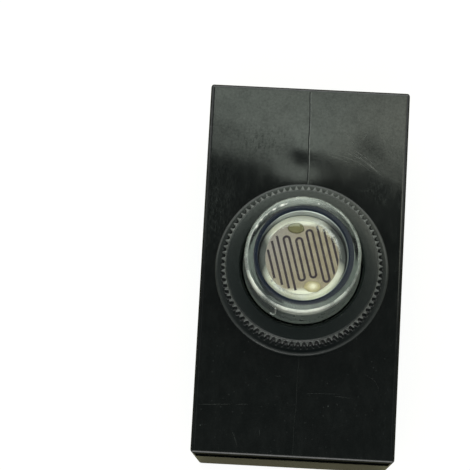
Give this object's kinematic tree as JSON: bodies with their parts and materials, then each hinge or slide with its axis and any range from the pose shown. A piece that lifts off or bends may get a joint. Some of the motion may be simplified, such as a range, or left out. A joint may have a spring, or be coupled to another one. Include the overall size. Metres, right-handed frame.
{
  "type": "light control switch",
  "caption": "Boxed light-sensing mains switch with a moulded stem, a ribbed lock nut that clamps it in a knockout, and a clear lens over a photocell.",
  "frame": {"origin": "middle of the flat back of the box", "axes": "+Z out of the face along the stem, Y along the box's long side, X across it"},
  "size_m": [0.0294, 0.0544, 0.044],
  "materials": {
    "housing_plastic": "moulded, glossy black",
    "cover_plastic": "moulded, satin black",
    "nut_plastic": "moulded, satin black",
    "lens_clear": "clear, polished",
    "holder_plastic": "moulded, blue-black",
    "cell_ceramic": "pale cream",
    "cell_film": "dark brown film",
    "electrode_metal": "vapour-deposited, beige sheen",
    "solder": "solidified, satin",
    "tinned_wire": "tinned",
    "sleeve_plastic": "soft white sleeve",
    "board_laminate": "brown laminate",
    "screw_steel": "zinc plated",
    "brass": "stamped",
    "blade_metal": "rolled strip",
    "contact_silver": "silver alloy",
    "heater_ceramic": "glazed",
    "surge_coat": "dipped coating",
    "copper_strip": "stamped copper alloy"
  },
  "bodies": {
    "case": {"housing": "housing_plastic", "back_cover": "cover_plastic", "lens_cap": "lens_clear", "cell_holder": "holder_plastic", "cell_disc": "cell_ceramic", "cell_film": "cell_film", "cell_electrodes": "electrode_metal", "cell_solder": "solder", "cell_wires": "tinned_wire", "cell_sleeves": "sleeve_plastic", "base_board": "board_laminate", "board_screws": "screw_steel", "blade_bracket": "brass", "contact_bracket": "brass", "contact_blade": "blade_metal", "blade_rivets": "brass", "moving_contact": "contact_silver", "fixed_contact": "contact_silver", "adjuster_bush": "brass", "adjusting_screw": "screw_steel", "heater_body": "heater_ceramic", "heater_wires": "tinned_wire", "surge_disc": "surge_coat", "surge_wires": "tinned_wire", "line_terminal": "brass", "load_terminal": "brass", "neutral_terminal": "brass", "board_rivets": "brass", "load_strip": "copper_strip"},
    "nut": {"lock_nut": "nut_plastic"}
  },
  "joints": [
    {"name": "nut_turn", "type": "hinge", "parent": "case", "child": "nut", "pos_m": [0, 0, 0.0285], "axis": [0, 0, 1], "range_deg": [0, 1080]}
  ]
}
